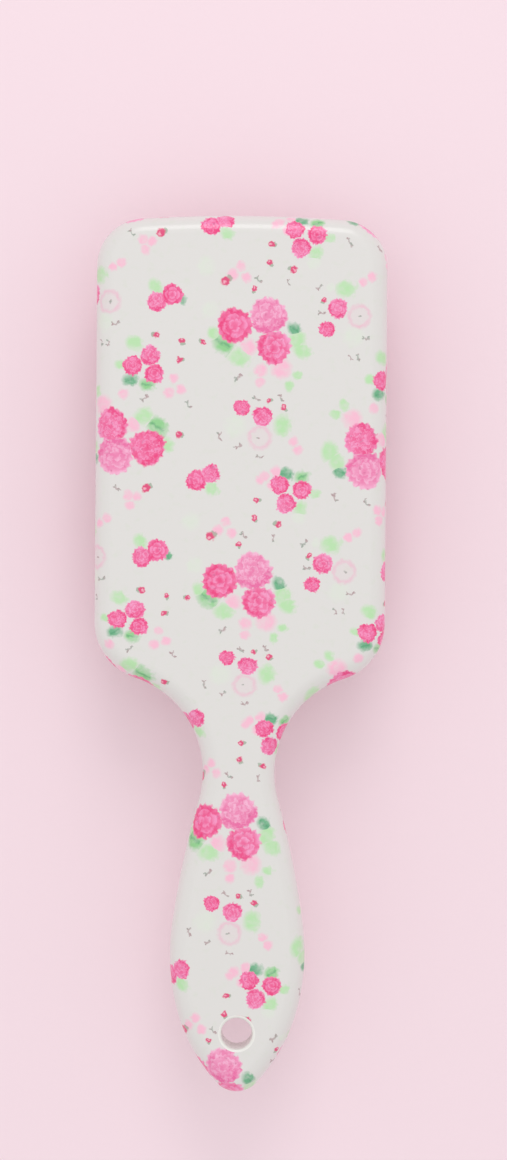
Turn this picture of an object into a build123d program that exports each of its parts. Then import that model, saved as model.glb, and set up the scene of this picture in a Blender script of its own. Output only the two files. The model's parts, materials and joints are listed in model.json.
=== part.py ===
from build123d import *
import os

os.makedirs("parts", exist_ok=True)

# Heights above the surface the pins stand on
z_crown = 15.5
z_front = 18.5
z_parting = 24.5
z_back = 31.0

# Paddle outline: head at +Y, handle at -Y
half_length = 110.0
half_width = 36.5
crown_drop = 1.8
top_corner = 12.0
shoulder_y = 7.7
# Arcs down one side, from the straight side to the tip: radius, turn in degrees
side_arcs = [
    (14.6, -72.4),
    (24.8, 88.2),
    (225.0, -8.2),
    (55.0, -21.4),
    (44.0, -28.8),
]

# Shells
wall = 2.2
back_edge = 4.5
front_edge = 4.0
parting_edge = 0.2
lip_gap = 0.1
lip_width = 1.0
lip_depth = 1.5
lip_root = 1.0
lip_tuck = 0.2
z_back_inside = z_back - wall
z_front_inside = z_front + wall

# How far an added feature sinks into its wall, and how far a cut runs past it
bed = 0.2
over = 1.0

# Hanging hole
hang_y = -95.0
hang_radius = 3.9
hang_boss = 6.4
hang_mouth = 0.8

# Locating posts and their sockets
post_ys = (-4.0, -28.0, -55.0, -78.0)
post_radius = 1.4
post_lead = 0.3
post_gap = 0.1
socket_radius = 2.9
z_post_tip = 21.6
z_socket_top = 24.3

# Stiffening ribs: pitches in the head, then middle and length, or middle and width, in the handle
rib = 1.2
rib_height = 1.6
rib_pitch = (20.0, 22.0)
back_spines = [(-38.0, 100.0)]
front_spines = [(-16.0, 18.5), (-41.5, 21.5), (-66.5, 17.5)]
cross_ribs = [(-41.0, 15.0), (-66.0, 24.0)]

# Cushion
pad_y = 53.0
opening = (58.0, 98.0, 12.0)
opening_edge = 0.6
pad_gap = 0.3
membrane = 1.5
flange = 2.7
shoulder = 2.4
vent_radius = 0.75

# Clamp ring and the pads that press on it
ring_height = 1.5
ring_lap = 4.5
ring_edge = 0.4
press_pad = (2.6, 9.0)
press_inset = 0.7
press_pitch = (24.0, 28.0)
z_ring = z_front_inside + membrane
z_ring_back = z_ring + ring_height

# Pins
columns = 11
column_pitch = 4.9
row_pitch = 8.0
rows_outer = 10
rows_even = 11
rows_odd = 12
pin_root = 0.6
pin_end = 0.5
pin_ball = 0.9
pin_head = 1.4
pin_head_height = 0.8
pin_hole = 0.65
pin_collar = 0.5


def outline(inset=0.0):
    """Paddle outline in the open sketch, moved in from its edge."""
    corner_y = half_length - crown_drop
    with BuildSketch(mode=Mode.PRIVATE) as paddle:
        with BuildLine():
            ThreePointArc((-half_width, corner_y), (0, half_length), (half_width, corner_y))
            for side in (1, -1):
                run = Line((side * half_width, corner_y), (side * half_width, shoulder_y))
                for radius, turn in side_arcs:
                    run = JernArc(run @ 1, run % 1, radius, side * turn)
            TangentArc(run @ 1, (-(run @ 1).X, (run @ 1).Y), tangent=run % 1)
        make_face()
        fillet(paddle.vertices().group_by(Axis.Y)[-1], top_corner)
    if inset:
        offset(paddle.sketch, amount=-inset, mode=Mode.ADD)
    else:
        add(paddle.sketch)


def pad_outline(grow, mode=Mode.ADD):
    """Rounded rectangle of the cushion opening, grown on every side."""
    wide, tall, corner = opening
    with Locations((0, pad_y)):
        RectangleRounded(wide + 2 * grow, tall + 2 * grow, corner + grow, mode=mode)


def pin_rows(column):
    """Y positions of the pins of one column; neighbours are staggered."""
    count = rows_odd if column % 2 else rows_even
    if column in (1, columns):
        count = rows_outer
    return [pad_y + row_pitch * (i - (count - 1) / 2) for i in range(count)]


def column_x(column):
    """X position of a column, numbered from 1 at the left."""
    return (column - (columns + 1) / 2) * column_pitch


def handle_ribs(spines):
    """Ribs along and across the handle, in the open sketch."""
    for y, length in spines:
        with Locations((0, y)):
            Rectangle(rib, length)
    for y, width in cross_ribs:
        with Locations((0, y)):
            Rectangle(width, rib)


pin_places = [(column_x(k), y) for k in range(1, columns + 1) for y in pin_rows(k)]
post_places = [(0, y) for y in post_ys]

# Back half of the body
with BuildPart() as back_shell:
    with BuildSketch(Plane.XY.offset(z_parting)):
        outline()
    extrude(amount=z_back - z_parting)
    fillet(back_shell.faces().sort_by(Axis.Z)[-1].edges(), back_edge)
    chamfer(back_shell.faces().sort_by(Axis.Z)[0].edges(), parting_edge)
    with BuildSketch(Plane.XY.offset(z_parting)):
        outline(wall)
    extrude(amount=z_back_inside - z_parting, mode=Mode.SUBTRACT)
    # Lip that drops inside the front half
    with BuildSketch(Plane.XY.offset(z_parting - lip_depth)):
        outline(wall + lip_gap)
        with BuildSketch(mode=Mode.SUBTRACT):
            outline(wall + lip_gap + lip_width)
    extrude(amount=lip_depth + lip_root)
    with BuildSketch(Plane.XY.offset(z_parting)):
        outline(wall - lip_tuck)
        with BuildSketch(mode=Mode.SUBTRACT):
            outline(wall + lip_gap + lip_width)
    extrude(amount=lip_root)
    # Hanging hole boss, locating posts, pads that press on the clamp ring
    with BuildSketch(Plane.XY.offset(z_parting)):
        with Locations((0, hang_y)):
            Circle(hang_boss)
    extrude(amount=z_back_inside - z_parting)
    with BuildSketch(Plane.XY.offset(z_post_tip)):
        with Locations(post_places):
            Circle(post_radius)
    extrude(amount=z_back_inside - z_post_tip)
    chamfer(back_shell.edges().group_by(Axis.Z)[0], post_lead)
    with BuildSketch(Plane.XY.offset(z_ring_back)):
        with Locations((0, pad_y)):
            with GridLocations(opening[0] + 2 * press_inset, press_pitch[1], 2, 3):
                Rectangle(*press_pad)
            with GridLocations(press_pitch[0], opening[1] + 2 * press_inset, 2, 2):
                Rectangle(press_pad[1], press_pad[0])
    extrude(amount=z_back_inside - z_ring_back)
    # Stiffening ribs
    with BuildSketch(Plane.XY.offset(z_back_inside - rib_height)):
        with Locations((0, pad_y)):
            with GridLocations(0, rib_pitch[1], 1, 4):
                Rectangle(2 * (half_width - wall), rib)
            with GridLocations(rib_pitch[0], 0, 3, 1):
                Rectangle(rib, opening[1])
        handle_ribs(back_spines)
    extrude(amount=rib_height + bed)
    with BuildSketch(Plane.XY.offset(z_parting - over)):
        with Locations((0, hang_y)):
            Circle(hang_radius)
    extrude(amount=z_back - z_parting + 2 * over, mode=Mode.SUBTRACT)
    mouth = back_shell.edges().filter_by(GeomType.CIRCLE).group_by(Axis.Z)[-1]
    fillet(mouth, hang_mouth)
back_shell.part.label = "back_shell"
export_step(back_shell.part, "parts/back_shell.step")

# Front half of the body
with BuildPart() as front_shell:
    with BuildSketch(Plane.XY.offset(z_front)):
        outline()
    extrude(amount=z_parting - z_front)
    fillet(front_shell.faces().sort_by(Axis.Z)[0].edges(), front_edge)
    chamfer(front_shell.faces().sort_by(Axis.Z)[-1].edges(), parting_edge)
    with BuildSketch(Plane.XY.offset(z_front_inside)):
        outline(wall)
    extrude(amount=z_parting - z_front_inside, mode=Mode.SUBTRACT)
    # Opening for the cushion, with a softened outer rim
    with BuildSketch(Plane.XY.offset(z_front - over)):
        pad_outline(0)
    extrude(amount=wall + 2 * over, mode=Mode.SUBTRACT)
    chamfer(front_shell.faces().sort_by(Axis.Z)[0].inner_wires()[0].edges(), opening_edge)
    # Sockets for the posts, boss of the hanging hole, ribs
    with BuildSketch(Plane.XY.offset(z_front_inside - bed)):
        with Locations(post_places):
            Circle(socket_radius)
    extrude(amount=z_socket_top - z_front_inside + bed)
    with BuildSketch(Plane.XY.offset(z_front_inside - bed)):
        with Locations(post_places):
            Circle(post_radius + post_gap)
    extrude(amount=z_parting - z_front_inside, mode=Mode.SUBTRACT)
    with BuildSketch(Plane.XY.offset(z_front_inside - bed)):
        handle_ribs(front_spines)
    extrude(amount=rib_height + bed)
    with BuildSketch(Plane.XY.offset(z_front_inside - bed)):
        with Locations((0, hang_y)):
            Circle(hang_boss)
    extrude(amount=z_parting - z_front_inside + bed)
    with BuildSketch(Plane.XY.offset(z_front - over)):
        with Locations((0, hang_y)):
            Circle(hang_radius)
    extrude(amount=z_parting - z_front + 2 * over, mode=Mode.SUBTRACT)
    mouth = front_shell.edges().filter_by(GeomType.CIRCLE).group_by(Axis.Z)[0]
    fillet([e for e in mouth if abs(e.radius - hang_radius) < 0.01], hang_mouth)
front_shell.part.label = "front_shell"
export_step(front_shell.part, "parts/front_shell.step")

# Rubber air cushion
with BuildPart() as cushion:
    with BuildSketch(Plane.XY.offset(z_crown)):
        pad_outline(-pad_gap)
    extrude(amount=z_ring - z_crown)
    fillet(cushion.faces().sort_by(Axis.Z)[0].edges(), shoulder)
    with BuildSketch(Plane.XY.offset(z_front_inside)):
        pad_outline(flange)
    extrude(amount=membrane)
    with BuildSketch(Plane.XY.offset(z_crown + membrane)):
        pad_outline(-pad_gap - membrane)
    extrude(amount=z_ring - z_crown - membrane, mode=Mode.SUBTRACT)
    with BuildSketch(Plane.XY.offset(z_crown - over)):
        with Locations(pin_places):
            Circle(pin_hole)
        with Locations((0, pad_y)):
            Circle(vent_radius)
    extrude(amount=membrane + 2 * over, mode=Mode.SUBTRACT)
cushion.part.label = "cushion"
export_step(cushion.part, "parts/cushion.step")

# Clamp ring behind the cushion's rim
with BuildPart() as cushion_frame:
    with BuildSketch(Plane.XY.offset(z_ring)):
        pad_outline(flange)
        pad_outline(flange - ring_lap, mode=Mode.SUBTRACT)
    extrude(amount=ring_height)
    fillet(cushion_frame.faces().sort_by(Axis.Z)[-1].edges(), ring_edge)
cushion_frame.part.label = "cushion_frame"
export_step(cushion_frame.part, "parts/cushion_frame.step")

# One pin, standing on its ball tip
z_head = z_crown + membrane
ball_join = pin_ball + (pin_ball ** 2 - pin_end ** 2) ** 0.5
with BuildPart() as pin:
    with BuildSketch(Plane.XZ):
        with BuildLine():
            Polyline(
                (0, 0),
                (0, z_head + pin_head_height),
                (pin_head, z_head + pin_head_height),
                (pin_head, z_head),
                (pin_root, z_head),
                (pin_root, z_crown - pin_collar),
                (pin_end, ball_join),
            )
            ThreePointArc((pin_end, ball_join), (pin_ball, pin_ball), (0, 0))
        make_face()
    revolve(axis=Axis.Z)

# The pins of each column
for k in range(1, columns + 1):
    with BuildPart() as pins:
        with Locations([(column_x(k), y, 0) for y in pin_rows(k)]):
            add(pin.part)
    pins.part.label = f"pins_column_{k:02d}"
    export_step(pins.part, f"parts/pins_column_{k:02d}.step")
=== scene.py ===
import json
import math

import bmesh
import bpy
import numpy as np
from bpy.props import FloatProperty, FloatVectorProperty, IntProperty, PointerProperty
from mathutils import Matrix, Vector


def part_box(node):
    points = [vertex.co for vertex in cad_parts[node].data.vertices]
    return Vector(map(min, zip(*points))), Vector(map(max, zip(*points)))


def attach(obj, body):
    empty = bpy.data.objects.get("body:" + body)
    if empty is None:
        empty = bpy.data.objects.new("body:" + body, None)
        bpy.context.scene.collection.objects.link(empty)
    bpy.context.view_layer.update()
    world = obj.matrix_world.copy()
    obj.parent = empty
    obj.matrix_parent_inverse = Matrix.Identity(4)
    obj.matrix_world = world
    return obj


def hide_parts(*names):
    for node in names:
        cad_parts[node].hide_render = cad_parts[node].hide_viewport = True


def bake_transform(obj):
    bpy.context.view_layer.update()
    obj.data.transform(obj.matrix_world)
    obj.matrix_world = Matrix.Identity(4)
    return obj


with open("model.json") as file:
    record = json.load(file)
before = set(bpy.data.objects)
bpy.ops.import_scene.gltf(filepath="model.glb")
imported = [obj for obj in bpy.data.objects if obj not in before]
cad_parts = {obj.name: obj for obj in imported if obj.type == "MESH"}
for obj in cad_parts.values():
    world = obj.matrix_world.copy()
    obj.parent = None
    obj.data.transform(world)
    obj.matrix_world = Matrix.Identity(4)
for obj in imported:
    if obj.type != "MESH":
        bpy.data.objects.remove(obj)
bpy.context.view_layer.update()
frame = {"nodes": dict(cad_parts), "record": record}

bl_info = {
    "name": "Paddle Hairbrush",
    "version": (1, 0, 0),
    "blender": (4, 5, 0),
    "location": "View3D > Sidebar > Paddle Brush",
    "description": "Builds a rose-printed paddle hairbrush around its packed CAD frame",
    "category": "Object",
}

MM = 0.001
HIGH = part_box("back_shell")[1]
PAD_LOW, PAD_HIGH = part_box("cushion")
FRONT_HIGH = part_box("front_shell")[1]
COLUMNS = sorted(name for name in frame["nodes"] if name.startswith("pins_column_"))


def linear(code):
    """Turn an sRGB hex value into the linear colour that the shaders take."""
    levels = [int(code[i:i + 2], 16) / 255 for i in (1, 3, 5)]
    return [v / 12.92 if v <= 0.04045 else ((v + 0.055) / 1.055) ** 2.4 for v in levels]


def put(tree, kind, inputs=(), **settings):
    """Add one node; inputs are sockets to link or plain values, by place or by name.

    A Mix node takes its share at 0, its two vectors at 4 and 5, and its two colours at 6 and 7.
    """
    node = tree.nodes.new(kind)
    for key, value in settings.items():
        setattr(node, key, value)
    pairs = inputs.items() if isinstance(inputs, dict) else enumerate(inputs)
    for key, value in pairs:
        if isinstance(value, bpy.types.NodeSocket):
            tree.links.new(value, node.inputs[key])
        else:
            node.inputs[key].default_value = value
    return node


# ---------------------------------------------------------------- outline of the paddle

# Sizes in millimetres, as the back shell has them; arcs are radius and turn in degrees
BACK_EDGE = 4.5
HALF_LENGTH = 110.0
HALF_WIDTH = 36.5
CROWN_DROP = 1.8
TOP_CORNER = 12.0
SHOULDER_Y = 7.7
SIDE_ARCS = [(14.6, -72.4), (24.8, 88.2), (225.0, -8.2), (55.0, -21.4), (44.0, -28.8)]
TIP_RADIUS = 6.83
HANG_Y = -95.0
HANG_MOUTH = 4.7
OUTLINE_STEP = 0.25
# The film ends this far above the parting line and outside the hole's mouth
PARTING_GAP = 0.15
MOUTH_SLACK = 0.02
# How far off the flat, the bend and the wall a covered point may lie, and past the bend's end
ON_FLAT = 0.002
ON_CURVE = 0.06
PAST_BEND = 0.05
Z_BACK = HIGH.z / MM
Z_PARTING = FRONT_HIGH.z / MM


def outline():
    """Points along the paddle's outline in millimetres, with their outward normals."""
    crown = (HALF_WIDTH ** 2 + CROWN_DROP ** 2) / (2 * CROWN_DROP)
    reach = HALF_WIDTH - TOP_CORNER
    lean = math.degrees(math.asin(reach / (crown - TOP_CORNER)))
    corner_y = HALF_LENGTH - crown + (crown - TOP_CORNER) * math.cos(math.radians(lean))
    turned = 90 + sum(turn for _, turn in SIDE_ARCS)
    runs = [(crown, -lean), (TOP_CORNER, lean - 90), (None, corner_y - SHOULDER_Y)]
    runs += SIDE_ARCS + [(TIP_RADIUS, -turned)]
    spots = [(0.0, HALF_LENGTH, 0.0)]
    for radius, amount in runs:
        length = amount if radius is None else radius * math.radians(abs(amount))
        steps = max(2, int(length / OUTLINE_STEP))
        for _ in range(steps):
            x, y, heading = spots[-1]
            turn = 0.0 if radius is None else amount / steps
            along = math.radians(heading + turn / 2)
            x += length / steps * math.cos(along)
            y += length / steps * math.sin(along)
            spots.append((x, y, heading + turn))
    right = np.array(spots)
    angle = np.radians(right[:, 2] + 90)
    right = np.column_stack([right[:, :2], np.cos(angle), np.sin(angle)])
    left = right[::-1] * [-1, 1, -1, 1]
    return np.vstack([right, left])


def film_places(points):
    """Where each point of the back lies on the flat film: x, y and 1 if it is covered.

    On the rounded edge the film keeps its length, so the print runs round it unstretched.
    """
    rim = outline()
    flat = points[:, :2]
    nearest = [((rim[:, :2] - place) ** 2).sum(axis=1).argmin() for place in flat]
    spot = rim[nearest, :2]
    out = rim[nearest, 2:]
    inset = ((spot - flat) * out).sum(axis=1)
    z = points[:, 2]
    bend_z = Z_BACK - BACK_EDGE
    sine = np.clip((BACK_EDGE - inset) / BACK_EDGE, 0, 1)
    run = BACK_EDGE * np.arcsin(sine)
    run = np.where(z < bend_z, BACK_EDGE * math.pi / 2 + bend_z - z, run)
    film = spot + out * (run - BACK_EDGE)[:, None]
    on_top = z > Z_BACK - ON_FLAT
    film[on_top] = flat[on_top]
    off_arc = np.abs(np.hypot(BACK_EDGE - inset, z - bend_z) - BACK_EDGE)
    on_edge = (z >= bend_z) & (off_arc < ON_CURVE) & (inset < BACK_EDGE + PAST_BEND)
    on_wall = (z < bend_z) & (inset < ON_CURVE) & (z > Z_PARTING + PARTING_GAP)
    from_hole = np.hypot(flat[:, 0], flat[:, 1] - HANG_Y)
    covered = (on_top & (from_hole > HANG_MOUTH - MOUTH_SLACK)) | on_edge | on_wall
    return np.column_stack([film, covered.astype(float)])


# ---------------------------------------------------------------- printed film

# The pattern repeats at every tile, in millimetres, and is a few degrees off the brush's length
TILE = (62.7, 64.0)
FILM_TURN = 3.0
# The film shrinks lengthwise as it is drawn into the neck: by how much, from where, over what length
NECK_SHRINK, NECK_START, NECK_RUN = 3.8, 15.0, 45.0

# Flowers: x, y and radius in millimetres, turn in degrees, kind
HOT, MID, PALE, RED, RING, SPRIG = range(6)
FLOWERS = [
    # two large groups of three roses
    (-1.7, 82.1, 4.6, 170, HOT), (6.6, 84.6, 4.9, 70, PALE), (8.1, 76.7, 4.4, 145, MID),
    (-23.4, 51.4, 4.7, 20, HOT), (-32.5, 57.0, 4.4, 330, MID), (-31.6, 49.4, 4.9, 250, PALE),
    # groups of three small roses
    (13.1, 106.3, 2.5, 40, HOT), (18.7, 105.0, 2.5, 150, HOT), (14.7, 101.6, 2.6, 300, MID),
    (-22.8, 74.5, 2.6, 80, MID), (-27.2, 71.9, 2.6, 10, HOT), (-21.8, 69.9, 2.5, 220, HOT),
    # pairs
    (-7.8, 107.2, 2.7, 100, HOT), (-4.2, 108.9, 2.5, 340, MID),
    (-21.2, 87.9, 2.6, 60, MID), (-17.4, 89.7, 2.8, 190, HOT),
    (24.0, 86.6, 2.6, 120, MID), (21.4, 81.4, 2.1, 0, HOT),
    (0.2, 61.6, 2.1, 30, HOT), (5.4, 59.4, 2.6, 270, MID),
    # faint ring blossoms
    (29.4, 84.6, 3.2, 0, RING), (4.7, 54.1, 3.2, 180, RING),
    # red buds
    (-20.3, 105.2, 1.6, 330, RED), (7.3, 102.4, 1.1, 0, RED), (6.9, 97.9, 1.1, 60, RED),
    (12.9, 96.2, 1.3, 200, RED), (-4.1, 93.2, 1.7, 320, RED), (3.1, 91.3, 1.0, 90, RED),
    (-21.2, 79.7, 1.3, 180, RED), (-14.9, 78.2, 1.1, 70, RED), (-9.6, 77.9, 1.1, 190, RED),
    (-15.6, 73.5, 1.1, 0, RED), (10.7, 61.8, 1.1, 45, RED), (-15.6, 54.8, 1.2, 10, RED),
    (20.6, 88.6, 1.0, 120, RED), (6.9, 63.4, 0.9, 0, RED),
    # sprigs
    (26.9, 103.2, 1.5, 80, SPRIG), (11.6, 92.9, 1.2, 100, SPRIG), (4.2, 93.6, 1.4, 60, SPRIG),
    (19.4, 91.8, 1.4, 330, SPRIG), (20.0, 85.4, 1.3, 20, SPRIG), (31.0, 79.2, 1.4, 10, SPRIG),
    (27.2, 74.4, 1.1, 260, SPRIG), (29.2, 74.4, 1.1, 280, SPRIG), (-24.2, 63.8, 1.4, 330, SPRIG),
    (-13.2, 62.3, 1.4, 70, SPRIG), (-0.8, 69.2, 1.4, 340, SPRIG), (3.7, 63.8, 1.3, 50, SPRIG),
    (9.9, 64.2, 1.2, 80, SPRIG), (-5.4, 54.4, 1.5, 95, SPRIG), (-0.7, 51.9, 1.3, 340, SPRIG),
    (4.7, 49.2, 1.3, 20, SPRIG), (-27.7, 105.2, 1.4, 60, SPRIG),
]

# Leaves and soft blossoms under them: x, y, radius, turn, kind
MINT, GREEN, DARK, BLUSH, HAZE = range(5)
LEAVES = [
    # round the large groups
    (-7.0, 80.0, 2.0, 60, MINT), (-4.6, 77.6, 3.4, 40, GREEN), (-0.6, 74.2, 3.0, 0, MINT),
    (13.2, 81.4, 2.2, 50, DARK), (13.9, 78.6, 2.8, 100, MINT), (15.2, 75.8, 2.6, 30, MINT),
    (10.0, 71.4, 2.6, 0, BLUSH), (1.6, 76.6, 2.2, 0, BLUSH), (4.8, 70.9, 1.7, 0, BLUSH),
    (4.7, 67.9, 1.3, 0, BLUSH), (14.1, 69.8, 1.5, 0, MINT), (12.0, 67.1, 1.6, 90, MINT),
    (-20.9, 56.6, 3.3, 220, GREEN), (-24.4, 59.2, 2.9, 150, MINT), (-18.3, 52.2, 2.0, 80, MINT),
    (-26.9, 57.2, 2.0, 0, BLUSH), (-40.5, 54.1, 2.9, 100, MINT), (-38.6, 51.3, 2.7, 80, MINT),
    (-37.9, 48.9, 2.0, 20, DARK), (-34.8, 62.2, 2.5, 0, BLUSH), (-36.8, 65.6, 1.7, 60, MINT),
    (-39.2, 63.4, 1.6, 0, MINT), (-29.4, 64.9, 1.4, 0, BLUSH),
    # round the small roses
    (14.7, 109.0, 2.2, 10, DARK), (18.7, 108.2, 2.1, 340, GREEN), (18.3, 100.2, 2.2, 120, MINT),
    (18.0, 98.2, 1.8, 60, HAZE), (21.9, 104.1, 1.6, 0, MINT), (-26.9, 77.6, 2.4, 20, MINT),
    (-30.3, 72.2, 1.6, 0, MINT), (-27.8, 68.5, 2.2, 350, DARK), (-23.6, 67.2, 2.2, 20, GREEN),
    (-3.8, 105.2, 2.1, 30, MINT), (-21.7, 91.8, 2.2, 60, MINT), (-14.6, 88.4, 1.3, 290, DARK),
    (26.0, 91.4, 2.9, 175, MINT), (10.3, 57.2, 2.9, 95, MINT), (22.2, 91.8, 1.2, 0, HAZE),
    # soft blossoms in threes and twos
    (-24.7, 103.4, 1.4, 0, BLUSH), (-22.6, 103.1, 1.3, 0, BLUSH), (-24.3, 100.9, 1.3, 0, BLUSH),
    (-0.3, 96.9, 1.3, 0, BLUSH), (-2.2, 94.9, 1.4, 0, BLUSH), (1.2, 94.1, 1.3, 0, BLUSH),
    (-16.9, 68.8, 1.2, 0, BLUSH), (-15.0, 66.0, 1.3, 0, BLUSH), (-18.0, 65.1, 1.4, 0, BLUSH),
    (32.5, 94.4, 1.3, 0, BLUSH), (30.3, 93.2, 1.2, 0, BLUSH), (5.9, 44.5, 1.4, 0, BLUSH),
    (8.9, 45.6, 1.5, 0, BLUSH), (7.8, 42.1, 1.3, 0, BLUSH), (13.1, 53.2, 1.2, 0, BLUSH),
    (14.3, 51.1, 1.3, 0, BLUSH), (8.2, 107.4, 1.2, 0, BLUSH),
    (-8.0, 86.0, 2.2, 0, HAZE), (-9.0, 97.0, 2.4, 30, HAZE), (28.0, 79.5, 2.6, 60, HAZE),
    (-1.5, 57.0, 2.8, 20, HAZE),
]


def nearest_motif(tree, film, motifs):
    """Find the motif that a point of the film belongs to.

    Gives its place from the motif's centre, a vector of radius, turn and kind,
    and its distance as a share of the radius. The film repeats at every tile.
    """
    turn = math.radians(FILM_TURN)
    half = (TILE[0] / 2, TILE[1] / 2, 1.0)
    best = None
    for x, y, radius, angle, kind in motifs:
        centre = (x * math.cos(turn) - y * math.sin(turn), x * math.sin(turn) + y * math.cos(turn), 0)
        away = put(tree, "ShaderNodeVectorMath", [film, centre], operation="SUBTRACT").outputs[0]
        ends = [away, half, [-v for v in half]]
        away = put(tree, "ShaderNodeVectorMath", ends, operation="WRAP").outputs[0]
        share = put(tree, "ShaderNodeVectorMath", [away], operation="LENGTH").outputs["Value"]
        share = put(tree, "ShaderNodeMath", [share, radius], operation="DIVIDE").outputs[0]
        facts = (radius, math.radians(angle), kind)
        if best is None:
            best = [away, facts, share]
            continue
        closer = put(tree, "ShaderNodeMath", [share, best[2]], operation="LESS_THAN").outputs[0]
        pick = {0: closer, 4: best[0], 5: away}
        place = put(tree, "ShaderNodeMix", pick, data_type="VECTOR").outputs[1]
        pick = {0: closer, 4: best[1], 5: facts}
        facts = put(tree, "ShaderNodeMix", pick, data_type="VECTOR").outputs[1]
        share = put(tree, "ShaderNodeMath", [share, best[2]], operation="MINIMUM").outputs[0]
        best = [place, facts, share]
    return best


def formula(tree, text, **names):
    """Write a formula of sockets as Math nodes, from words in reverse Polish order."""
    two = {"+": "ADD", "-": "SUBTRACT", "*": "MULTIPLY", "/": "DIVIDE", "max": "MAXIMUM",
           "<": "LESS_THAN", ">": "GREATER_THAN", "atan2": "ARCTAN2", "pow": "POWER"}
    one = {"sin": "SINE", "cos": "COSINE", "abs": "ABSOLUTE", "fract": "FRACT", "sqrt": "SQRT"}
    stack = []
    for word in text.split():
        if word in two:
            second = stack.pop()
            first = stack.pop()
            stack.append(put(tree, "ShaderNodeMath", [first, second], operation=two[word]).outputs[0])
        elif word in one:
            stack.append(put(tree, "ShaderNodeMath", [stack.pop()], operation=one[word]).outputs[0])
        elif word == "clamp":
            stack.append(put(tree, "ShaderNodeClamp", [stack.pop()]).outputs[0])
        elif word in names:
            stack.append(names[word])
        else:
            stack.append(float(word))
    return stack.pop()


def by_kind(tree, kind, colours):
    """Pick a colour by a motif's kind."""
    place = formula(tree, f"kind 0.5 + {len(colours)} /", kind=kind)
    ramp = put(tree, "ShaderNodeValToRGB", [place])
    ramp.color_ramp.interpolation = "CONSTANT"
    stops = ramp.color_ramp.elements
    while len(stops) < len(colours):
        stops.new(1.0)
    for number, colour in enumerate(colours):
        stops[number].position = number / len(colours)
        stops[number].color = linear(colour) + [1.0]
    return ramp.outputs[0]


def motif_frame(tree, best, wobble):
    """Turn and scale a motif's own place to a unit circle, with a hand-printed wobble."""
    facts = put(tree, "ShaderNodeSeparateXYZ", [best[1]]).outputs
    place = put(tree, "ShaderNodeVectorMath", [best[0], wobble], operation="ADD").outputs[0]
    scale = formula(tree, "1 radius /", radius=facts[0])
    turned = put(tree, "ShaderNodeVectorRotate", {0: place, 3: facts[1]}, rotation_type="Z_AXIS")
    unit = put(tree, "ShaderNodeVectorMath", {0: turned.outputs[0], "Scale": scale}, operation="SCALE")
    axes = put(tree, "ShaderNodeSeparateXYZ", [unit.outputs[0]]).outputs
    far = formula(tree, "x x * y y * + sqrt", x=axes[0], y=axes[1])
    angle = formula(tree, "y x atan2", x=axes[0], y=axes[1])
    return {"x": axes[0], "y": axes[1], "far": far, "angle": angle, "kind": facts[2]}


def petal_ring(tree, rose, petals, turn, outer, inner, scallop):
    """One ring of petals: where it lies, and how pale it is from its base to its lip."""
    share = formula(tree, f"angle {2 * math.pi} / petals * turn + fract 0.5 - 2 *", petals=petals,
                    turn=turn, **rose)
    rim = formula(tree, "outer share share * scallop * -", outer=outer, scallop=scallop, share=share)
    inside = formula(tree, "rim far - 11 * clamp", rim=rim, **rose)
    lip = formula(tree, "far inner - rim inner - / clamp 1.6 pow", inner=inner, rim=rim, **rose)
    seam = formula(tree, "share abs 0.72 - 3.6 * clamp", share=share)
    return inside, formula(tree, "lip 1 seam - * 1.25 * clamp", lip=lip, seam=seam)


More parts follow.
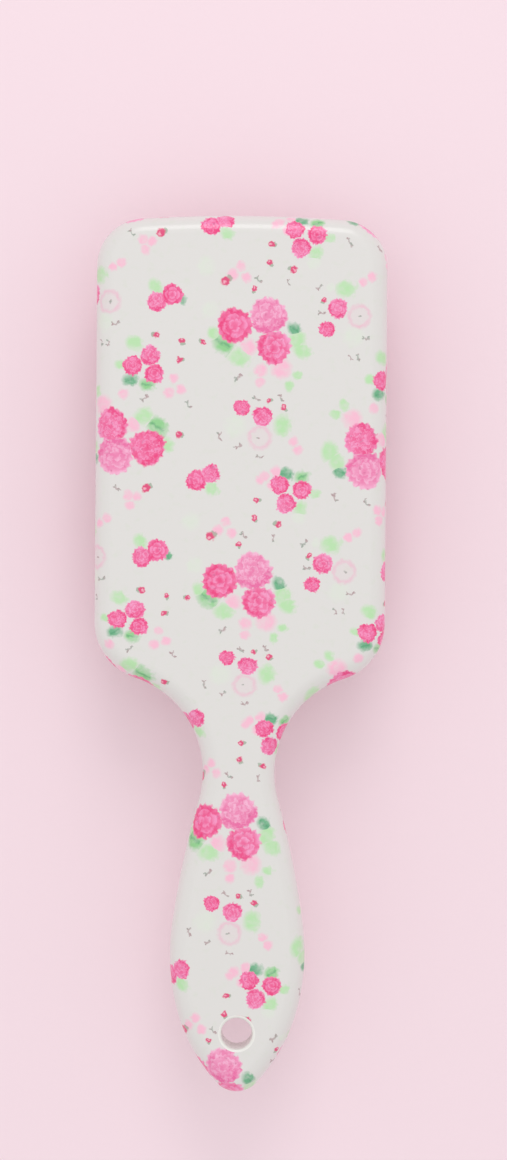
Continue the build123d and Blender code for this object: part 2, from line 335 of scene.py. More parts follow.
def print_colour(tree, film, ground):
    """Colour of the film: small roses, leaves, blossoms and sprigs on an off-white ground."""
    # the film is in millimetres: brush strokes are about 1 mm wide, and washes about 2 mm
    noise = put(tree, "ShaderNodeTexNoise", {"Vector": film, "Scale": 0.9, "Detail": 3.0})
    grain = put(tree, "ShaderNodeVectorMath", [noise.outputs["Color"], (0.5, 0.5, 0.5)],
                operation="SUBTRACT").outputs[0]
    wobble = put(tree, "ShaderNodeVectorMath", {0: grain, "Scale": 1.5}, operation="SCALE").outputs[0]
    blot = put(tree, "ShaderNodeTexNoise", {"Vector": film, "Scale": 0.45, "Detail": 3.0}).outputs[0]

    # leaves are long ovals, blossoms and haze are round; all are soft washes of colour
    leaf = motif_frame(tree, nearest_motif(tree, film, LEAVES), wobble)
    is_leaf = formula(tree, "kind 2.5 <", **leaf)
    is_haze = formula(tree, "kind 3.5 >", **leaf)
    blade = formula(tree, "y y * 1.8 * x x * 1.1 * + sqrt noise 0.5 - 0.9 * +",
                    noise=noise.outputs[0], **leaf)
    spot = formula(tree, "blade is_leaf * far 1 is_leaf - * +", blade=blade, is_leaf=is_leaf,
                   far=leaf["far"])
    cover = formula(tree, "1 spot 0.85 * - 2 * clamp blot 1.7 * 0.05 + * clamp", spot=spot, blot=blot)
    cover = formula(tree, "cover 1 haze 0.6 * - *", cover=cover, haze=is_haze)
    wash = formula(tree, "blot 0.56 - 5 * clamp 0.3 *", blot=blot)
    colour = put(tree, "ShaderNodeMix", {0: wash, 6: ground, 7: linear("#D3DCC8") + [1]},
                 data_type="RGBA").outputs[2]
    leaf_colour = by_kind(tree, leaf["kind"], ["#B9E3AE", "#8FD08C", "#67B083", "#F9BDD3", "#DDEBD6"])
    vein = formula(tree, "1 y x 0.25 * - abs 5 * - clamp x abs 0.6 < * kind 0.5 > * kind 2.5 < * 0.6 *",
                   **leaf)
    leaf_colour = put(tree, "ShaderNodeMix", {0: vein, 6: leaf_colour, 7: linear("#359463") + [1]},
                      data_type="RGBA").outputs[2]
    colour = put(tree, "ShaderNodeMix", {0: cover, 6: colour, 7: leaf_colour}, data_type="RGBA").outputs[2]

    # roses: three rings of petals, each deep at its base and paler at its lip; a hot ragged fringe
    # runs round the first kind and lies to one side of the others
    rose = motif_frame(tree, nearest_motif(tree, film, FLOWERS), wobble)
    is_rose = formula(tree, "kind 2.5 <", **rose)
    fringe = formula(tree, "angle 16 * sin", **rose)
    outside = formula(tree, "1 far - fringe 0.045 * - angle 3 * cos 0.04 * - 10 * clamp", fringe=fringe,
                      **rose)
    bend = put(tree, "ShaderNodeSeparateXYZ", [grain]).outputs
    bent_x = formula(tree, "x bend 0.75 * +", x=rose["x"], bend=bend[0])
    bent_y = formula(tree, "y bend 0.75 * +", y=rose["y"], bend=bend[1])
    bent = {"far": formula(tree, "x x * y y * + sqrt", x=bent_x, y=bent_y),
            "angle": formula(tree, "y x atan2", x=bent_x, y=bent_y)}
    pale = 0.5
    for petals, turn, outer, inner, scallop in ((5.0, 0.1, 1.1, 0.55, 0.13), (4.0, 0.4, 0.72, 0.32, 0.14),
                                                (3.0, 0.7, 0.4, 0.05, 0.1)):
        inside, nearer = petal_ring(tree, bent, petals, turn, outer, inner, scallop)
        pale = formula(tree, "pale 1 inside - * nearer inside * +", pale=pale, inside=inside, nearer=nearer)
    heat = formula(tree, "far x kind 0.35 * 0.15 + * + kind 0.12 * 0.5 + - 2.4 * clamp fringe 0.2 * 0.8 + *",
                   fringe=fringe, **rose)
    pale = formula(tree, "pale 0.85 * 1 heat - 0.5 * + 0.27 - blot 0.5 - 1.2 * + clamp", pale=pale, heat=heat,
                   blot=blot)
    deep = by_kind(tree, rose["kind"], ["#EE2B7B", "#EE3883", "#EC64A2", "#E23D76", "#FFFFFF", "#FFFFFF"])
    light = by_kind(tree, rose["kind"], ["#FA95C6", "#F99ECB", "#FAB6D6", "#F59DBD", "#FFFFFF", "#FFFFFF"])
    petal = put(tree, "ShaderNodeMix", {0: pale, 6: deep, 7: light}, data_type="RGBA").outputs[2]
    ink = formula(tree, "noise 0.6 - 9 * clamp 0.5 *", noise=noise.outputs[0])
    petal = put(tree, "ShaderNodeMix", {0: ink, 6: petal, 7: linear("#C43A7B") + [1]},
                data_type="RGBA").outputs[2]
    shown = formula(tree, "outside is_rose *", outside=outside, is_rose=is_rose)
    colour = put(tree, "ShaderNodeMix", {0: shown, 6: colour, 7: petal}, data_type="RGBA").outputs[2]

    # red buds: a round bud with a pale glint, held by a small dark sepal
    is_bud = formula(tree, "kind 2.5 > kind 3.5 < *", **rose)
    sepal = formula(tree, "1 x 0.72 - x 0.72 - * y y * 0.7 * + 4.5 * - 2.0 * clamp is_bud * 0.65 *",
                    is_bud=is_bud, **rose)
    colour = put(tree, "ShaderNodeMix", {0: sepal, 6: colour, 7: linear("#7C9A78") + [1]},
                 data_type="RGBA").outputs[2]
    bud = formula(tree, "0.78 far - 4 * clamp is_bud *", is_bud=is_bud, **rose)
    glint = formula(tree, "1 x 0.2 + x 0.2 + * y y * + 9 * - clamp 0.65 *", **rose)
    shiny = put(tree, "ShaderNodeMix", {0: glint, 6: deep, 7: linear("#FFD3E0") + [1]},
                data_type="RGBA").outputs[2]
    colour = put(tree, "ShaderNodeMix", {0: bud, 6: colour, 7: shiny}, data_type="RGBA").outputs[2]

    # ring blossoms: a faint pink rim, and a small grey mark at the heart
    is_ring = formula(tree, "kind 3.5 > kind 4.5 < *", **rose)
    ring = formula(tree, "1 far 0.82 - abs 4.2 * - clamp blot 0.9 * 0.1 + * far 0.8 < 0.12 * + is_ring *",
                   blot=blot, is_ring=is_ring, **rose)
    colour = put(tree, "ShaderNodeMix", {0: ring, 6: colour, 7: linear("#F0B3CB") + [1]},
                 data_type="RGBA").outputs[2]
    mark = formula(tree, "1 x 0.12 - x 0.12 - * y 1.8 * y 1.8 * * + 34 * - clamp is_ring *",
                   is_ring=is_ring, **rose)

    # sprigs: a bent stem with a leaf to each side
    is_sprig = formula(tree, "kind 4.5 >", **rose)
    stem = formula(tree, "1 y x x * 0.5 * - 0.1 + abs 4.2 * - clamp far 0.8 < *", **rose)
    tufts = formula(tree, "1 x abs 0.45 - x abs 0.45 - * y x 0.6 * - y x 0.6 * - * + 13 * - clamp"
                          " 1.5 * clamp", **rose)
    green = formula(tree, "stem tufts max is_sprig * mark max 0.68 *", stem=stem, tufts=tufts,
                    is_sprig=is_sprig, mark=mark)
    tint = formula(tree, "blot 0.47 - 9 * clamp", blot=blot)
    tint = put(tree, "ShaderNodeMix", {0: tint, 6: linear("#97636B") + [1], 7: linear("#6D8170") + [1]},
               data_type="RGBA").outputs[2]
    return put(tree, "ShaderNodeMix", {0: green, 6: colour, 7: tint}, data_type="RGBA").outputs[2]


# ---------------------------------------------------------------- materials


def new_material(name):
    """An empty material with its shader and output, ready for a finish."""
    material = bpy.data.materials.new(name)
    material.use_nodes = True
    tree = material.node_tree
    tree.nodes.clear()
    shader = put(tree, "ShaderNodeBsdfPrincipled")
    put(tree, "ShaderNodeOutputMaterial", [shader.outputs[0]])
    return material, tree, shader


def moulded_bump(tree, shader, where, grain_mm, height_mm):
    """The faint orange peel of a moulded or wrapped surface, as wide as grain_mm."""
    noise = put(tree, "ShaderNodeTexNoise", {"Vector": where, "Scale": 1 / (grain_mm * MM), "Detail": 2.0})
    bump = put(tree, "ShaderNodeBump", {"Strength": 1.0, "Distance": height_mm * MM,
                                        "Height": noise.outputs[0]})
    tree.links.new(bump.outputs[0], shader.inputs["Normal"])
    return noise.outputs[0]


def printed_abs(look):
    """Moulded ABS under a heat-wrapped printed film with a clear gloss top coat.

    The film gives flat, slightly soft colours, and the coat a clean even reflection.
    """
    material, tree, shader = new_material("Film wrapped ABS")
    film = put(tree, "ShaderNodeAttribute", attribute_name="film").outputs["Vector"]
    parts = put(tree, "ShaderNodeSeparateXYZ", [film]).outputs
    along = formula(tree, f"y {NECK_START} y - {NECK_RUN} / clamp {NECK_SHRINK} * -", y=parts[1])
    flat = put(tree, "ShaderNodeCombineXYZ", [parts[0], along]).outputs[0]
    turn = math.radians(FILM_TURN)
    turned = put(tree, "ShaderNodeVectorRotate", {0: flat, 3: turn}, rotation_type="Z_AXIS").outputs[0]
    printed = print_colour(tree, turned, list(look.ground_colour) + [1])
    covered = formula(tree, "cover 0.5 >", cover=parts[2])
    bare = list(look.shell_colour) + [1]
    colour = put(tree, "ShaderNodeMix", {0: covered, 6: bare, 7: printed}, data_type="RGBA").outputs[2]
    tree.links.new(colour, shader.inputs["Base Color"])
    shader.inputs["Roughness"].default_value = 0.3
    shader.inputs["IOR"].default_value = 1.53
    shader.inputs["Coat Weight"].default_value = 0.5
    shader.inputs["Coat Roughness"].default_value = 0.18
    where = put(tree, "ShaderNodeTexCoord").outputs["Object"]
    moulded_bump(tree, shader, where, 2.5, 0.006)
    return material


def gloss_abs(look):
    """Injection-moulded gloss ABS: an even off-white with a faint flow ripple."""
    material, tree, shader = new_material("Gloss ABS")
    where = put(tree, "ShaderNodeTexCoord").outputs["Object"]
    ripple = moulded_bump(tree, shader, where, 3.0, 0.008)
    shade = formula(tree, "ripple 0.5 - 0.25 * 0.5 +", ripple=ripple)
    warm = [v * 0.96 for v in look.shell_colour] + [1]
    plain = list(look.shell_colour) + [1]
    tone = put(tree, "ShaderNodeMix", {0: shade, 6: warm, 7: plain}, data_type="RGBA")
    tree.links.new(tone.outputs[2], shader.inputs["Base Color"])
    shader.inputs["Roughness"].default_value = 0.28
    shader.inputs["IOR"].default_value = 1.53
    shader.inputs["Coat Weight"].default_value = 0.25
    shader.inputs["Coat Roughness"].default_value = 0.1
    return material


def matt_abs(look):
    """Spark-eroded matt ABS of the hidden clamp ring: a fine even grain."""
    material, tree, shader = new_material("Matt ABS")
    where = put(tree, "ShaderNodeTexCoord").outputs["Object"]
    grain = moulded_bump(tree, shader, where, 0.5, 0.02)
    shade = formula(tree, "grain 0.5 *", grain=grain)
    dull = [v * 0.85 for v in look.shell_colour] + [1]
    plain = list(look.shell_colour) + [1]
    tone = put(tree, "ShaderNodeMix", {0: shade, 6: plain, 7: dull}, data_type="RGBA")
    tree.links.new(tone.outputs[2], shader.inputs["Base Color"])
    shader.inputs["Roughness"].default_value = 0.6
    shader.inputs["IOR"].default_value = 1.53
    return material


def soft_rubber(look):
    """Moulded silicone-soft rubber of the air cushion: satin, with a talc-dusted bloom."""
    material, tree, shader = new_material("Satin rubber")
    where = put(tree, "ShaderNodeTexCoord").outputs["Object"]
    grain = moulded_bump(tree, shader, where, 0.6, 0.012)
    # clouds of the bloom are about 11 mm wide
    cloud = put(tree, "ShaderNodeTexNoise", {"Vector": where, "Scale": 90.0, "Detail": 3.0}).outputs[0]
    shade = formula(tree, "cloud 0.6 * grain 0.4 * + 0.3 - 1.4 * clamp", cloud=cloud, grain=grain)
    pale = [min(1.0, v * 1.12 + 0.02) for v in look.cushion_colour] + [1]
    plain = list(look.cushion_colour) + [1]
    tone = put(tree, "ShaderNodeMix", {0: shade, 6: plain, 7: pale}, data_type="RGBA")
    tree.links.new(tone.outputs[2], shader.inputs["Base Color"])
    rough = formula(tree, "grain 0.16 * 0.42 +", grain=grain)
    tree.links.new(rough, shader.inputs["Roughness"])
    shader.inputs["IOR"].default_value = 1.45
    return material


def nylon(look):
    """Moulded nylon pins with dipped epoxy ball tips: milky shaft, glossy coloured ball."""
    material, tree, shader = new_material("Ball tipped nylon")
    where = put(tree, "ShaderNodeTexCoord").outputs["Object"]
    height = put(tree, "ShaderNodeSeparateXYZ", [where]).outputs[2]
    # milkiness changes over about 1 mm
    grain = put(tree, "ShaderNodeTexNoise", {"Vector": where, "Scale": 900.0, "Detail": 2.0}).outputs[0]
    # the dip ends just above the ball, at an uneven line
    dip = look.ball_radius * 1.95
    tip = formula(tree, f"{dip} grain {0.3 * MM} * + height >", grain=grain, height=height)
    milky = formula(tree, "grain 0.5 *", grain=grain)
    plain = list(look.pin_colour) + [1]
    shaft = put(tree, "ShaderNodeMix", {0: milky, 6: plain, 7: linear("#E9E4DC") + [1]},
                data_type="RGBA").outputs[2]
    dipped = list(look.tip_colour) + [1]
    tone = put(tree, "ShaderNodeMix", {0: tip, 6: shaft, 7: dipped}, data_type="RGBA")
    tree.links.new(tone.outputs[2], shader.inputs["Base Color"])
    rough = formula(tree, "0.38 tip 0.2 * -", tip=tip)
    tree.links.new(rough, shader.inputs["Roughness"])
    shader.inputs["IOR"].default_value = 1.53
    return material


def paper_floor(look):
    """Pale card of the studio floor, with a barely visible tooth."""
    material, tree, shader = new_material("Studio card")
    where = put(tree, "ShaderNodeTexCoord").outputs["Object"]
    tooth = moulded_bump(tree, shader, where, 0.9, 0.01)
    shade = formula(tree, "tooth 0.3 *", tooth=tooth)
    dull = [v * 0.96 for v in look.floor_colour] + [1]
    plain = list(look.floor_colour) + [1]
    tone = put(tree, "ShaderNodeMix", {0: shade, 6: plain, 7: dull}, data_type="RGBA")
    tree.links.new(tone.outputs[2], shader.inputs["Base Color"])
    shader.inputs["Roughness"].default_value = 0.85
    shader.inputs["Specular IOR Level"].default_value = 0.15
    return material


# ---------------------------------------------------------------- settings


class BrushLook(bpy.types.PropertyGroup):
    """Sizes and colours that a user of the brush would change."""

    ground_colour: FloatVectorProperty(
        name="Film ground", description="Colour between the printed roses",
        subtype="COLOR", default=linear("#E1DEDB"), min=0, max=1)
    shell_colour: FloatVectorProperty(
        name="Shell", description="Colour of the unprinted plastic",
        subtype="COLOR", default=linear("#EFEDE8"), min=0, max=1)
    cushion_colour: FloatVectorProperty(
        name="Cushion", description="Colour of the rubber air cushion",
        subtype="COLOR", default=linear("#EC9DB9"), min=0, max=1)
    pin_colour: FloatVectorProperty(
        name="Pins", description="Colour of the nylon shafts",
        subtype="COLOR", default=linear("#F7F4EE"), min=0, max=1)
    tip_colour: FloatVectorProperty(
        name="Ball tips", description="Colour of the dipped ball tips",
        subtype="COLOR", default=linear("#E8699A"), min=0, max=1)
    floor_colour: FloatVectorProperty(
        name="Floor", description="Colour of the studio card",
        subtype="COLOR", default=linear("#F9E2EA"), min=0, max=1)
    dome: FloatProperty(
        name="Cushion dome", description="How far the middle of the cushion bulges out",
        unit="LENGTH", default=1.1 * MM, min=0, max=3 * MM)
    ball_radius: FloatProperty(
        name="Ball radius", description="Radius of the ball tip of a pin",
        unit="LENGTH", default=0.9 * MM, min=0.5 * MM, max=1.5 * MM)
    pin_sides: IntProperty(
        name="Pin sides", description="Sides round each pin",
        default=8, min=6, max=16)


# ---------------------------------------------------------------- pieces


def new_piece(name, mesh, material):
    """Put a finished mesh in the scene at the origin, with one material."""
    piece = bpy.data.objects.new(name, mesh)
    bpy.context.scene.collection.objects.link(piece)
    mesh.materials.clear()
    mesh.materials.append(material)
    return piece


# Pins in millimetres: pitch of the rows, and radii of the head and down the shaft
ROW_PITCH = 8.0
PIN_HEAD = 1.4
PIN_ROOT = 0.6
PIN_MIDDLE = 0.56
PIN_NECK = 0.5
# The middle radius lies this far outside the cushion's crown
MIDDLE_OUT = 0.6
# The head's depth, its broken edges and the fillet under it
HEAD_DEPTH = 0.8
HEAD_EDGE = 0.2
HEAD_FILLET = 0.15
# Where the rings of the ball tip lie, in radians from its end
BALL_RINGS = (0.45, 0.95, 1.57, 2.1)
# Radius in millimetres that closes a lathed end to a point
POINT = 0.002


def lathe_tree(name, material):
    """Geometry Nodes: turn a spine with a radius attribute into a solid at every row point."""
    tree = bpy.data.node_groups.new(name, "GeometryNodeTree")
    face = tree.interface
    face.new_socket("Geometry", in_out="INPUT", socket_type="NodeSocketGeometry")
    for label, kind in (("Rows", "NodeSocketInt"), ("Sides", "NodeSocketInt"),
                        ("First", "NodeSocketVector"), ("Step", "NodeSocketVector")):
        face.new_socket(label, in_out="INPUT", socket_type=kind)
    face.new_socket("Geometry", in_out="OUTPUT", socket_type="NodeSocketGeometry")
    given = put(tree, "NodeGroupInput").outputs
    spine = put(tree, "GeometryNodeMeshToCurve", [given["Geometry"]]).outputs[0]
    radius = put(tree, "GeometryNodeInputNamedAttribute", {"Name": "radius"}, data_type="FLOAT")
    ring = put(tree, "GeometryNodeCurvePrimitiveCircle", {"Resolution": given["Sides"], "Radius": 1.0})
    solid = put(tree, "GeometryNodeCurveToMesh", {"Curve": spine, "Profile Curve": ring.outputs[0],
                                                  "Scale": radius.outputs[0], "Fill Caps": True})
    solid = put(tree, "GeometryNodeMergeByDistance", {"Geometry": solid.outputs[0],
                                                      "Distance": 2 * POINT * MM})
    solid = put(tree, "GeometryNodeSetShadeSmooth", [solid.outputs[0]])
    rows = put(tree, "GeometryNodeMeshLine", {"Count": given["Rows"], "Start Location": given["First"],
                                              "Offset": given["Step"]})
    spread = put(tree, "GeometryNodeInstanceOnPoints", {"Points": rows.outputs[0],
                                                        "Instance": solid.outputs[0]})
    real = put(tree, "GeometryNodeRealizeInstances", [spread.outputs[0]])
    done = put(tree, "GeometryNodeSetMaterial", {"Geometry": real.outputs[0], "Material": material})
    put(tree, "NodeGroupOutput", [done.outputs[0]])
    return tree


def lathed_rows(name, spine, tree, values, material):
    """Run the lathe tree on a spine of height and radius in mm, and keep the result as a plain mesh."""
    mesh = bpy.data.meshes.new(name)
    points = [(0, 0, z * MM) for z, _ in spine]
    mesh.from_pydata(points, [(i, i + 1) for i in range(len(points) - 1)], [])
    layer = mesh.attributes.new("radius", "FLOAT", "POINT")
    layer.data.foreach_set("value", [r * MM for _, r in spine])
    piece = new_piece(name, mesh, material)
    modifier = piece.modifiers.new("Rows", "NODES")
    modifier.node_group = tree
    for item in tree.interface.items_tree:
        if item.in_out == "INPUT" and item.name in values:
            modifier[item.identifier] = values[item.name]
    shown = piece.evaluated_get(bpy.context.evaluated_depsgraph_get())
    result = bpy.data.meshes.new_from_object(shown)
    result.name = name
    # the realized rows come with an empty slot before the material's own
    result.materials.clear()
    result.materials.append(material)
    piece.modifiers.clear()
    piece.data = result
    bpy.data.meshes.remove(mesh)
    return piece


def column_rows(column):
    """Where a column's rows of pins start, how many there are, and the step between them."""
    low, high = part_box(column)
    head = PIN_HEAD * MM
    step = ROW_PITCH * MM
    first = ((low.x + high.x) / 2, low.y + head, 0.0)
    count = round((high.y - low.y - 2 * head) / step) + 1
    return {"Rows": count, "First": first, "Step": (0.0, step, 0.0)}


def welded_copy(mesh, name):
    """A closed copy of a CAD mesh: its loose triangles joined, with their smooth normals kept."""
    points = np.empty(len(mesh.vertices) * 3)
    mesh.vertices.foreach_get("co", points)
    corners = np.empty(len(mesh.loops), dtype=int)
    mesh.loops.foreach_get("vertex_index", corners)
    normals = np.empty(len(mesh.loops) * 3)
    mesh.corner_normals.foreach_get("vector", normals)
    spots, place = np.unique(points.reshape(-1, 3).round(7), axis=0, return_inverse=True)
    faces = place.ravel()[corners].reshape(-1, 3)
    whole = (faces != np.roll(faces, 1, axis=1)).all(axis=1)
    joined = bpy.data.meshes.new(name)
    joined.from_pydata(spots, [], faces[whole])
    joined.shade_smooth()
    joined.normals_split_custom_set(normals.reshape(-1, 3, 3)[whole].reshape(-1, 3))
    return joined


class PADDLE_OT_back(bpy.types.Operator):
    """Wrap the back shell in its printed film"""

    bl_idname = "paddle.back"
    bl_label = "Printed back"

    def execute(self, context):
        look = context.scene.paddle_look
        mesh = welded_copy(frame["nodes"]["back_shell"].data, "printed_back")
        points = np.empty(len(mesh.vertices) * 3)
        mesh.vertices.foreach_get("co", points)
        places = film_places(points.reshape(-1, 3) / MM)
        layer = mesh.attributes.new("film", "FLOAT_VECTOR", "POINT")
        layer.data.foreach_set("vector", places.ravel())
        piece = new_piece("printed_back", mesh, printed_abs(look))
        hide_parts("back_shell")
        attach(piece, "body")
        return {"FINISHED"}


class PADDLE_OT_front(bpy.types.Operator):
    """Give the front shell and the clamp ring their moulded finishes"""

    bl_idname = "paddle.front"
    bl_label = "Front shell and clamp ring"

    def execute(self, context):
        look = context.scene.paddle_look
        for node, finish in (("front_shell", gloss_abs(look)), ("cushion_frame", matt_abs(look))):
            for slot in frame["nodes"][node].material_slots:
                slot.material = finish
        return {"FINISHED"}


# Air cushion in millimetres: its middle and the heights of its rim and crown
PAD_Y = (PAD_LOW.y + PAD_HIGH.y) / 2 / MM
PAD_RIM = PAD_HIGH.z / MM
PAD_CROWN = PAD_LOW.z / MM
# Flange beyond the wall of the cup, the brim shown of it, and the wall's half width, half length and corner
PAD_FLANGE = 3.0
PAD_BRIM = 2.7
PAD_WIDE = PAD_HIGH.x / MM - PAD_FLANGE
PAD_TALL = (PAD_HIGH.y - PAD_LOW.y) / 2 / MM - PAD_FLANGE
PAD_CORNER = 11.7
# Thickness of the rubber, radius of the shoulder and of the vent hole, height of the corner inside
PAD_SKIN = 1.5
PAD_SHOULDER = 2.4
VENT = 0.75
INNER_CORNER = 1.1
# Broken edges of the brim, and the fillet under it
PAD_EDGE = 0.2
PAD_FILLET = 0.15
# Fineness of the mesh
PAD_SIDES = 144
SHOULDER_STEPS = 8
CROWN_STEPS = 16
# Collar round a pin: height above the crown and radius, in millimetres
COLLAR = ((0.4, 1.35), (-0.05, 1.3), (-0.35, 1.05), (-0.5, 0.85), (-0.52, 0.62))
COLLAR_SIDES = 12


def cup_loop(inset):
    """The cushion's rounded rectangle about its centre, moved in by inset and evenly spaced."""
    half_wide, half_tall, corner = PAD_WIDE - inset, PAD_TALL - inset, PAD_CORNER - inset
    wide, tall = half_wide - corner, half_tall - corner
    arc = corner * math.pi / 2
    legs = [tall, arc, 2 * wide, arc, 2 * tall, arc, 2 * wide, arc, tall]
    centres = [(wide, tall), (-wide, tall), (-wide, -tall), (wide, -tall)]
    starts = [(half_wide, 0), (wide, half_tall), (-half_wide, tall), (-wide, -half_tall), (half_wide, -tall)]
    ways = [(0, 1), (-1, 0), (0, -1), (1, 0), (0, 1)]
    loop = []
    for i in range(PAD_SIDES):
        left = sum(legs) * i / PAD_SIDES
        leg = 0
        while left > legs[leg]:
            left -= legs[leg]
            leg += 1
        quarter = leg // 2
        if leg % 2:
            angle = math.pi / 2 * quarter + left / corner
            x, y = centres[quarter]
            loop.append((x + corner * math.cos(angle), y + corner * math.sin(angle)))
        else:
            x, y = starts[quarter]
            loop.append((x + ways[quarter][0] * left, y + ways[quarter][1] * left))
    return loop


def crown_loop(share, inset):
    """A loop of the crown, from the cushion's outline at 0 to the round vent hole at 1."""
    loop = []
    for i, (x, y) in enumerate(cup_loop(inset)):
        angle = 2 * math.pi * i / PAD_SIDES
        loop.append((x + (VENT * math.cos(angle) - x) * share, y + (VENT * math.sin(angle) - y) * share))
    return loop


def swell(dome, share):
    """How far the crown bulges, from nothing at the outline to the whole dome at the middle."""
    return dome * math.sin(math.pi / 2 * share) ** 1.5


def pad_collars(dome, material):
    """Small moulded collars round the pins, one run of rows for each column."""
    tree = lathe_tree("Collar rows", material)
    spine = [(PAD_CROWN + height, radius) for height, radius in COLLAR]
    made = []
    for column in COLUMNS:
        values = {**column_rows(column), "Sides": COLLAR_SIDES}
        collar = lathed_rows(column + "_collars", spine, tree, values, material)
        for vert in collar.data.vertices:
            across = abs(vert.co.x / MM) / PAD_WIDE
            along = abs(vert.co.y / MM - PAD_Y) / PAD_TALL
            vert.co.z -= swell(dome, max(0.0, 1 - max(across, along))) * MM
        made.append(collar)
    return made


class PADDLE_OT_cushion(bpy.types.Operator):
    """Build the domed rubber cushion with a collar round every pin"""

    bl_idname = "paddle.cushion"
    bl_label = "Air cushion"

    def execute(self, context):
        look = context.scene.paddle_look
        material = soft_rubber(look)
        dome = look.dome / MM
        # outside of the brim and of the cup's wall
        under = PAD_RIM - PAD_SKIN
        rows = [(cup_loop(inset), z) for inset, z in (
            (-PAD_BRIM, PAD_RIM), (-PAD_BRIM, under + PAD_EDGE), (PAD_EDGE - PAD_BRIM, under),
            (-PAD_FILLET, under), (0.0, under - PAD_EDGE), (0.0, PAD_CROWN + PAD_SHOULDER))]
        for step in range(1, SHOULDER_STEPS + 1):
            angle = math.pi / 2 * step / SHOULDER_STEPS
            z = PAD_CROWN + PAD_SHOULDER * (1 - math.sin(angle))
            rows.append((cup_loop(PAD_SHOULDER * (1 - math.cos(angle))), z))
        # over the crown to the vent hole, and back behind the skin
        for step in range(1, CROWN_STEPS + 1):
            share = step / CROWN_STEPS
            rows.append((crown_loop(share, PAD_SHOULDER), PAD_CROWN - swell(dome, share)))
        for step in range(CROWN_STEPS, -1, -1):
            share = step / CROWN_STEPS
            rows.append((crown_loop(share, 2 * PAD_SKIN), PAD_CROWN + PAD_SKIN - swell(dome, share)))
        rows += [(cup_loop(PAD_SKIN), PAD_CROWN + PAD_SKIN + INNER_CORNER), (cup_loop(PAD_SKIN), PAD_RIM)]
        cup = bmesh.new()
        loops = [[cup.verts.new((x * MM, (y + PAD_Y) * MM, z * MM)) for x, y in loop] for loop, z in rows]
        for a, b in zip(loops, loops[1:] + loops[:1]):
            for i in range(PAD_SIDES):
                j = (i + 1) % PAD_SIDES
                cup.faces.new((a[i], a[j], b[j], b[i]))
        bmesh.ops.recalc_face_normals(cup, faces=cup.faces)
        for face in cup.faces:
            face.smooth = True
        for collar in pad_collars(dome, material):
            cup.from_mesh(collar.data)
            used = collar.data
            bpy.data.objects.remove(collar)
            bpy.data.meshes.remove(used)
        mesh = bpy.data.meshes.new("air_cushion")
        cup.to_mesh(mesh)
        cup.free()
        piece = new_piece("air_cushion", mesh, material)
        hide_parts("cushion")
        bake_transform(piece)
        return {"FINISHED"}


class PADDLE_OT_pins(bpy.types.Operator):
    """Stand the ball-tipped nylon pins in their columns"""

    bl_idname = "paddle.pins"
    bl_label = "Pins"

    def execute(self, context):
        look = context.scene.paddle_look
        material = nylon(look)
        tree = lathe_tree("Pin rows", material)
        ball = look.ball_radius / MM
        join = ball + math.sqrt(ball ** 2 - PIN_NECK ** 2)
        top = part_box(COLUMNS[0])[1].z / MM
        spine = [(0.0, POINT)]
        spine += [(ball * (1 - math.cos(a)), ball * math.sin(a)) for a in BALL_RINGS]
        under = top - HEAD_DEPTH
        spine += [(join, PIN_NECK), (PAD_CROWN - MIDDLE_OUT, PIN_MIDDLE), (under, PIN_ROOT),
                  (under, PIN_HEAD - HEAD_FILLET), (under + HEAD_EDGE, PIN_HEAD),
                  (top - HEAD_EDGE, PIN_HEAD), (top, PIN_HEAD - HEAD_EDGE), (top, POINT)]
        bodies = frame["record"]["behaviour"]["bodies"]
        for column in COLUMNS:
            values = {**column_rows(column), "Sides": look.pin_sides}
            piece = lathed_rows(column.replace("pins_column", "ball_pins"), spine, tree, values, material)
            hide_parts(column)
            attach(piece, next(body for body, nodes in bodies.items() if column in nodes))
        return {"FINISHED"}


# Stage in metres and watts; a lamp's row is its name, place, size and power, and each looks at the brush
FLOOR_REACH = 2.5
SKY_STRENGTH = 0.8
LAMPS = (
    ("Overhead", (0.0, 0.1, 1.3), 1.2, 1.3),
    ("Top edge", (0.05, 0.85, 0.8), 0.5, 2.0),
    ("Left", (-1.0, -0.1, 0.6), 1.2, 0.5),
    ("Right", (1.0, 0.0, 0.6), 1.2, 0.4),
)
# Long lens straight above the flat back, with the brush a little left of and below centre
VIEW_CENTRE = (0.0034, 0.0185)
VIEW_HEIGHT = 0.290
VIEW_ROLL = 0.42
LENS = 100.0
SENSOR = 36.0


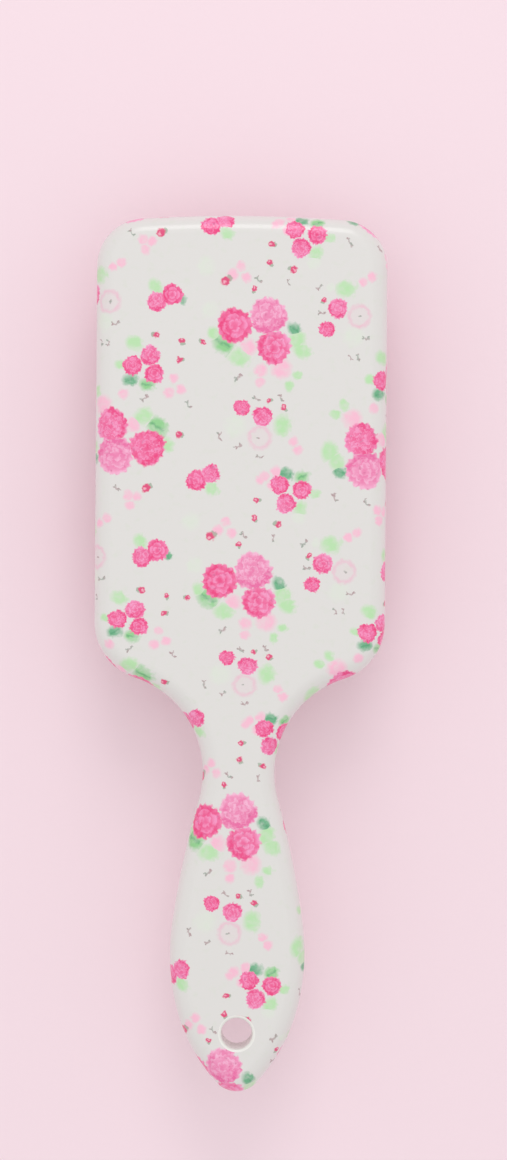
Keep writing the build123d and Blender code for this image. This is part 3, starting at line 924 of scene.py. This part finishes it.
class PADDLE_OT_stage(bpy.types.Operator):
    """Lay the floor, set the soft lights and place the camera"""

    bl_idname = "paddle.stage"
    bl_label = "Stage"

    def execute(self, context):
        look = context.scene.paddle_look
        scene = context.scene
        mesh = bpy.data.meshes.new("floor")
        corners = [(x * FLOOR_REACH, y * FLOOR_REACH, 0) for x, y in ((-1, -1), (1, -1), (1, 1), (-1, 1))]
        mesh.from_pydata(corners, [], [(0, 1, 2, 3)])
        floor = new_piece("floor", mesh, paper_floor(look))

        world = bpy.data.worlds.new("Studio")
        world.use_nodes = True
        world.node_tree.nodes.clear()
        white = linear("#FFFFFF") + [1]
        sky = put(world.node_tree, "ShaderNodeBackground", {"Color": white, "Strength": SKY_STRENGTH})
        put(world.node_tree, "ShaderNodeOutputWorld", [sky.outputs[0]])
        scene.world = world

        aim = Vector((0, 0, HIGH.z))
        for name, place, size, watts in LAMPS:
            data = bpy.data.lights.new(name, "AREA")
            data.size = size
            data.energy = watts
            lamp = bpy.data.objects.new(name, data)
            lamp.location = place
            lamp.rotation_euler = (aim - lamp.location).to_track_quat("-Z", "Y").to_euler()
            scene.collection.objects.link(lamp)

        data = bpy.data.cameras.new("Camera")
        data.sensor_fit = "VERTICAL"
        data.sensor_height = SENSOR
        data.lens = LENS
        data.clip_start = 0.01
        camera = bpy.data.objects.new("Camera", data)
        camera.location = (*VIEW_CENTRE, HIGH.z + VIEW_HEIGHT * LENS / SENSOR)
        camera.rotation_euler = (0, 0, math.radians(VIEW_ROLL))
        scene.collection.objects.link(camera)
        scene.camera = camera
        scene.view_settings.view_transform = "Standard"
        return {"FINISHED"}


class PADDLE_PT_panel(bpy.types.Panel):
    """Sidebar panel with the brush's steps and settings"""

    bl_idname = "PADDLE_PT_panel"
    bl_label = "Paddle Brush"
    bl_space_type = "VIEW_3D"
    bl_region_type = "UI"
    bl_category = "Paddle Brush"

    def draw(self, context):
        look = context.scene.paddle_look
        for name in BrushLook.__annotations__:
            self.layout.prop(look, name)
        for operator in OPERATORS:
            self.layout.operator(operator.bl_idname)


OPERATORS = (PADDLE_OT_back, PADDLE_OT_front, PADDLE_OT_cushion, PADDLE_OT_pins, PADDLE_OT_stage)
CLASSES = (BrushLook,) + OPERATORS + (PADDLE_PT_panel,)


def register():
    for cls in CLASSES:
        bpy.utils.register_class(cls)
    bpy.types.Scene.paddle_look = PointerProperty(type=BrushLook)


def unregister():
    del bpy.types.Scene.paddle_look
    for cls in reversed(CLASSES):
        bpy.utils.unregister_class(cls)


def main():
    register()
    bpy.ops.paddle.stage()
    bpy.ops.paddle.back()
    bpy.ops.paddle.front()
    bpy.ops.paddle.cushion()
    bpy.ops.paddle.pins()


if __name__ == "__main__":
    main()
